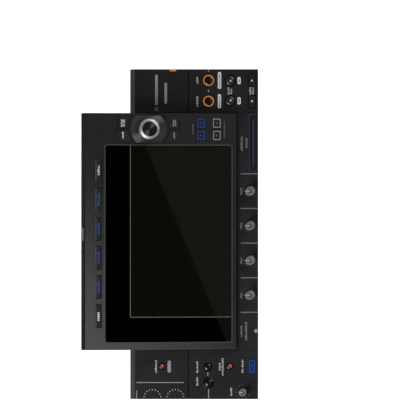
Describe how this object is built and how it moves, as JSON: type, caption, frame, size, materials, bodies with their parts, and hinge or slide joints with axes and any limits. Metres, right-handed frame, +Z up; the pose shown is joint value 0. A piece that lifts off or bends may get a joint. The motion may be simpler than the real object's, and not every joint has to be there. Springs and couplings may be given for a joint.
{
  "type": "desktop dj control console section with display",
  "caption": "Desktop audio control console with a tilted touch display, rotary selector, lit keys, push buttons and trim knobs on a flat-footed base.",
  "frame": {"origin": "centre of the whole object's footprint, at table height under the feet", "axes": "+X to the player's right, +Y to the rear (away from the player), +Z up"},
  "size_m": [0.3906, 0.2088, 0.0987],
  "materials": {
    "shell": "fine textured dark grey moulding",
    "panel": "satin near-black",
    "mixer": "satin near-black",
    "cover": "satin dark grey",
    "housing": "fine textured black moulding",
    "key": "smooth matte black",
    "gloss_key": "polished black",
    "knob": "soft dark grey",
    "spun_metal": "spun and bright-cut",
    "screen": "polished black cover glass",
    "film": "olive-tinted clear protective film",
    "steel": "plated",
    "board": "solder resist green",
    "ribbon": "flat white ribbon",
    "rubber": "matte",
    "lit_orange": "black cap in an orange lit ring",
    "lit_red": "lit translucent red",
    "lit_blue": "black key in a blue lit ring"
  },
  "bodies": {
    "console": {"bottom_tray": "shell", "upper_shell": "shell", "left_rear_panel": "panel", "left_front_panel": "panel", "right_rear_panel": "panel", "right_front_panel": "panel", "mixer_panel": "mixer", "touch_strip": "gloss_key", "display_cover": "cover", "display_back": "housing", "screen_protector": "film", "cover_glass": "screen", "lcd_panel": "steel", "display_board": "board", "main_board": "board", "left_control_board": "board", "right_control_board": "board", "mixer_board": "board", "power_supply": "steel", "power_inlet": "housing", "selector_dish": "spun_metal", "encoder_body": "steel", "ribbon_cable": "ribbon", "foot_front_left": "rubber", "foot_front_right": "rubber", "foot_rear_left": "rubber", "foot_rear_right": "rubber"},
    "display_key_1": {"display_key_1": "key"},
    "display_key_2": {"display_key_2": "key"},
    "display_key_3": {"display_key_3": "key"},
    "display_key_4": {"display_key_4": "key"},
    "display_key_5": {"display_key_5": "key"},
    "display_key_6": {"display_key_6": "key"},
    "square_key_front_left": {"square_key_front_left": "key"},
    "square_key_front_right": {"square_key_front_right": "key"},
    "square_key_rear_left": {"square_key_rear_left": "key"},
    "square_key_rear_right": {"square_key_rear_right": "key"},
    "selector_key_rear_left": {"selector_key_rear_left": "key"},
    "selector_key_rear_right": {"selector_key_rear_right": "key"},
    "selector_key_front_left": {"selector_key_front_left": "key"},
    "selector_key_front_right": {"selector_key_front_right": "key"},
    "loop_button_left": {"loop_button_left": "lit_orange"},
    "loop_button_right": {"loop_button_right": "lit_orange"},
    "beat_button_left": {"beat_button_left": "gloss_key"},
    "beat_button_right": {"beat_button_right": "gloss_key"},
    "memory_button": {"memory_button": "gloss_key"},
    "delete_button": {"delete_button": "gloss_key"},
    "lit_button_front": {"lit_button_front": "lit_red"},
    "lit_button_rear": {"lit_button_rear": "lit_red"},
    "jump_key_left": {"jump_key_left": "key"},
    "jump_key_right": {"jump_key_right": "key"},
    "mode_key": {"mode_key": "lit_blue"},
    "trim_knob_1": {"trim_knob_1": "knob"},
    "trim_knob_2": {"trim_knob_2": "knob"},
    "trim_knob_3": {"trim_knob_3": "knob"},
    "trim_knob_4": {"trim_knob_4": "knob"},
    "jog_adjust_knob": {"jog_adjust_knob": "knob"},
    "encoder_shaft": {"encoder_shaft": "steel"},
    "selector_knob": {"selector_knob": "spun_metal"},
    "power_button": {"power_button": "gloss_key"}
  },
  "joints": [
    {"name": "display_key_1_press", "type": "slide", "parent": "console", "child": "display_key_1", "axis": [0, 0.1392, -0.9903], "range_m": [0, 0.001], "stiffness_N_per_m": 900},
    {"name": "display_key_2_press", "type": "slide", "parent": "console", "child": "display_key_2", "axis": [0, 0.1392, -0.9903], "range_m": [0, 0.001], "stiffness_N_per_m": 900},
    {"name": "display_key_3_press", "type": "slide", "parent": "console", "child": "display_key_3", "axis": [0, 0.1392, -0.9903], "range_m": [0, 0.001], "stiffness_N_per_m": 900},
    {"name": "display_key_4_press", "type": "slide", "parent": "console", "child": "display_key_4", "axis": [0, 0.1392, -0.9903], "range_m": [0, 0.001], "stiffness_N_per_m": 900},
    {"name": "display_key_5_press", "type": "slide", "parent": "console", "child": "display_key_5", "axis": [0, 0.1392, -0.9903], "range_m": [0, 0.001], "stiffness_N_per_m": 900},
    {"name": "display_key_6_press", "type": "slide", "parent": "console", "child": "display_key_6", "axis": [0, 0.1392, -0.9903], "range_m": [0, 0.001], "stiffness_N_per_m": 900},
    {"name": "square_key_front_left_press", "type": "slide", "parent": "console", "child": "square_key_front_left", "axis": [0, 0.1392, -0.9903], "range_m": [0, 0.001], "stiffness_N_per_m": 900},
    {"name": "square_key_front_right_press", "type": "slide", "parent": "console", "child": "square_key_front_right", "axis": [0, 0.1392, -0.9903], "range_m": [0, 0.001], "stiffness_N_per_m": 900},
    {"name": "square_key_rear_left_press", "type": "slide", "parent": "console", "child": "square_key_rear_left", "axis": [0, 0.1392, -0.9903], "range_m": [0, 0.001], "stiffness_N_per_m": 900},
    {"name": "square_key_rear_right_press", "type": "slide", "parent": "console", "child": "square_key_rear_right", "axis": [0, 0.1392, -0.9903], "range_m": [0, 0.001], "stiffness_N_per_m": 900},
    {"name": "selector_key_rear_left_press", "type": "slide", "parent": "console", "child": "selector_key_rear_left", "axis": [0, 0.1392, -0.9903], "range_m": [0, 0.001], "stiffness_N_per_m": 900},
    {"name": "selector_key_rear_right_press", "type": "slide", "parent": "console", "child": "selector_key_rear_right", "axis": [0, 0.1392, -0.9903], "range_m": [0, 0.001], "stiffness_N_per_m": 900},
    {"name": "selector_key_front_left_press", "type": "slide", "parent": "console", "child": "selector_key_front_left", "axis": [0, 0.1392, -0.9903], "range_m": [0, 0.001], "stiffness_N_per_m": 900},
    {"name": "selector_key_front_right_press", "type": "slide", "parent": "console", "child": "selector_key_front_right", "axis": [0, 0.1392, -0.9903], "range_m": [0, 0.001], "stiffness_N_per_m": 900},
    {"name": "loop_button_left_press", "type": "slide", "parent": "console", "child": "loop_button_left", "axis": [0, 0, -1], "range_m": [0, 0.0012], "stiffness_N_per_m": 900},
    {"name": "loop_button_right_press", "type": "slide", "parent": "console", "child": "loop_button_right", "axis": [0, 0, -1], "range_m": [0, 0.0012], "stiffness_N_per_m": 900},
    {"name": "beat_button_left_press", "type": "slide", "parent": "console", "child": "beat_button_left", "axis": [0, 0, -1], "range_m": [0, 0.0012], "stiffness_N_per_m": 900},
    {"name": "beat_button_right_press", "type": "slide", "parent": "console", "child": "beat_button_right", "axis": [0, 0, -1], "range_m": [0, 0.0012], "stiffness_N_per_m": 900},
    {"name": "memory_button_press", "type": "slide", "parent": "console", "child": "memory_button", "axis": [0, 0, -1], "range_m": [0, 0.0012], "stiffness_N_per_m": 900},
    {"name": "delete_button_press", "type": "slide", "parent": "console", "child": "delete_button", "axis": [0, 0, -1], "range_m": [0, 0.0012], "stiffness_N_per_m": 900},
    {"name": "lit_button_front_press", "type": "slide", "parent": "console", "child": "lit_button_front", "axis": [0, 0, -1], "range_m": [0, 0.0012], "stiffness_N_per_m": 900},
    {"name": "lit_button_rear_press", "type": "slide", "parent": "console", "child": "lit_button_rear", "axis": [0, 0, -1], "range_m": [0, 0.0012], "stiffness_N_per_m": 900},
    {"name": "jump_key_left_press", "type": "slide", "parent": "console", "child": "jump_key_left", "axis": [0, 0, -1], "range_m": [0, 0.0012], "stiffness_N_per_m": 900},
    {"name": "jump_key_right_press", "type": "slide", "parent": "console", "child": "jump_key_right", "axis": [0, 0, -1], "range_m": [0, 0.0012], "stiffness_N_per_m": 900},
    {"name": "mode_key_press", "type": "slide", "parent": "console", "child": "mode_key", "axis": [0, 0, -1], "range_m": [0, 0.0012], "stiffness_N_per_m": 900},
    {"name": "power_button_press", "type": "slide", "parent": "console", "child": "power_button", "axis": [0, -1, 0], "range_m": [0, 0.0015], "stiffness_N_per_m": 900},
    {"name": "selector_press", "type": "slide", "parent": "console", "child": "encoder_shaft", "axis": [0, 0.1392, -0.9903], "range_m": [0, 0.0008], "stiffness_N_per_m": 1500},
    {"name": "selector_turn", "type": "hinge", "parent": "encoder_shaft", "child": "selector_knob", "pos_m": [0.124, 0.02508, 0.08456], "axis": [0, -0.1392, 0.9903], "continuous": true},
    {"name": "trim_knob_1_turn", "type": "hinge", "parent": "console", "child": "trim_knob_1", "pos_m": [-0.072, -0.0946, 0.066], "axis": [0, 0, 1], "range_deg": [-150, 150]},
    {"name": "trim_knob_2_turn", "type": "hinge", "parent": "console", "child": "trim_knob_2", "pos_m": [-0.031, -0.0946, 0.066], "axis": [0, 0, 1], "range_deg": [-150, 150]},
    {"name": "trim_knob_3_turn", "type": "hinge", "parent": "console", "child": "trim_knob_3", "pos_m": [0.01, -0.0946, 0.066], "axis": [0, 0, 1], "range_deg": [-150, 150]},
    {"name": "trim_knob_4_turn", "type": "hinge", "parent": "console", "child": "trim_knob_4", "pos_m": [0.051, -0.0946, 0.066], "axis": [0, 0, 1], "range_deg": [-150, 150]},
    {"name": "jog_adjust_knob_turn", "type": "hinge", "parent": "console", "child": "jog_adjust_knob", "pos_m": [-0.187, -0.086, 0.066], "axis": [0, 0, 1], "range_deg": [-140, 140]}
  ]
}
